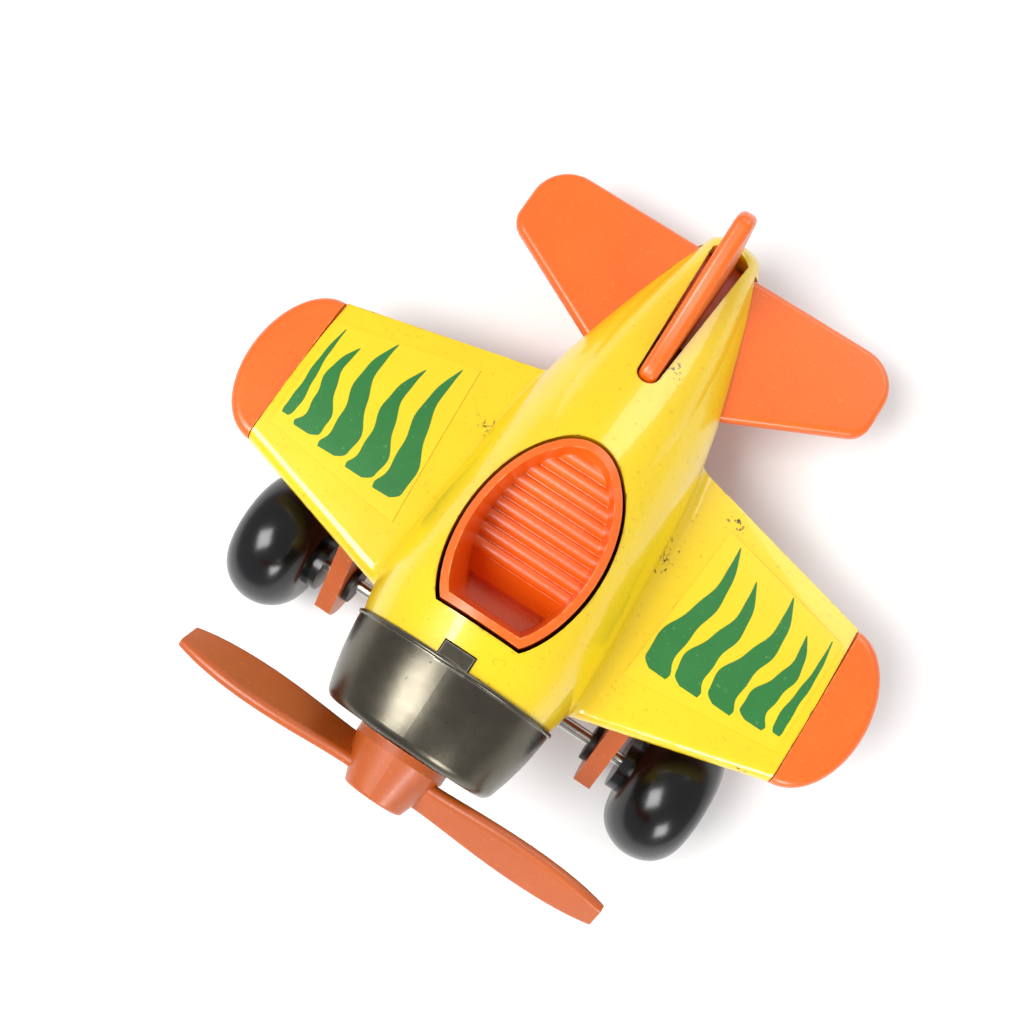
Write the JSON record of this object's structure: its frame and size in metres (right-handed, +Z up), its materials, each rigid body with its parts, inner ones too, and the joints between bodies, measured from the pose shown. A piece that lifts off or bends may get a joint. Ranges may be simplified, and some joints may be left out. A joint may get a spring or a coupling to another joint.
{
  "type": "toy aeroplane",
  "caption": "Small die-cast toy monoplane with moulded cockpit tub, wing tips and tail, a turning propeller and rolling balloon wheels.",
  "frame": {"origin": "under the middle of the toy's box, on the surface it stands on", "axes": "+X towards the pilot's left wing tip, -Y towards the nose, +Z up; the toy stands nose-up on its wheels and tail skid"},
  "size_m": [0.0784, 0.0706, 0.0346],
  "materials": {
    "yellow_enamel": "glossy yellow enamel over die-cast zinc, lightly chipped",
    "orange_plastic": "satin-gloss moulded orange plastic",
    "rivet_steel": "spun rivet heads",
    "plated_sheet": "worn dark nickel plating on drawn sheet",
    "bush_brass": "turned",
    "bright_steel": "bright drawn wire",
    "dark_steel": "blackened push-on washer",
    "black_plastic": "glossy black moulded plastic",
    "decal_film": "printed film, green shapes on yellow"
  },
  "bodies": {
    "airframe": {"fuselage_casting": "yellow_enamel", "belly_base": "orange_plastic", "base_rivets": "rivet_steel", "tailplane": "orange_plastic", "fin": "orange_plastic", "wing_tip_left": "orange_plastic", "wing_tip_right": "orange_plastic", "cockpit_tub": "orange_plastic", "cowl": "plated_sheet", "shaft_bush": "bush_brass", "decal_left": "decal_film", "decal_right": "decal_film"},
    "propeller": {"propeller": "orange_plastic", "propeller_shaft": "bright_steel", "shaft_retainer": "dark_steel"},
    "wheelset": {"axle": "bright_steel", "axle_washer_left": "dark_steel", "axle_washer_right": "dark_steel", "wheel_left": "black_plastic", "wheel_right": "black_plastic"}
  },
  "joints": [
    {"name": "propeller_spin", "type": "hinge", "parent": "airframe", "child": "propeller", "pos_m": [0, -0.02905, 0.02503], "axis": [0, -0.9724, 0.2334], "continuous": true},
    {"name": "wheel_roll", "type": "hinge", "parent": "airframe", "child": "wheelset", "pos_m": [0, -0.0206, 0.0084], "axis": [1, 0, 0], "continuous": true}
  ]
}
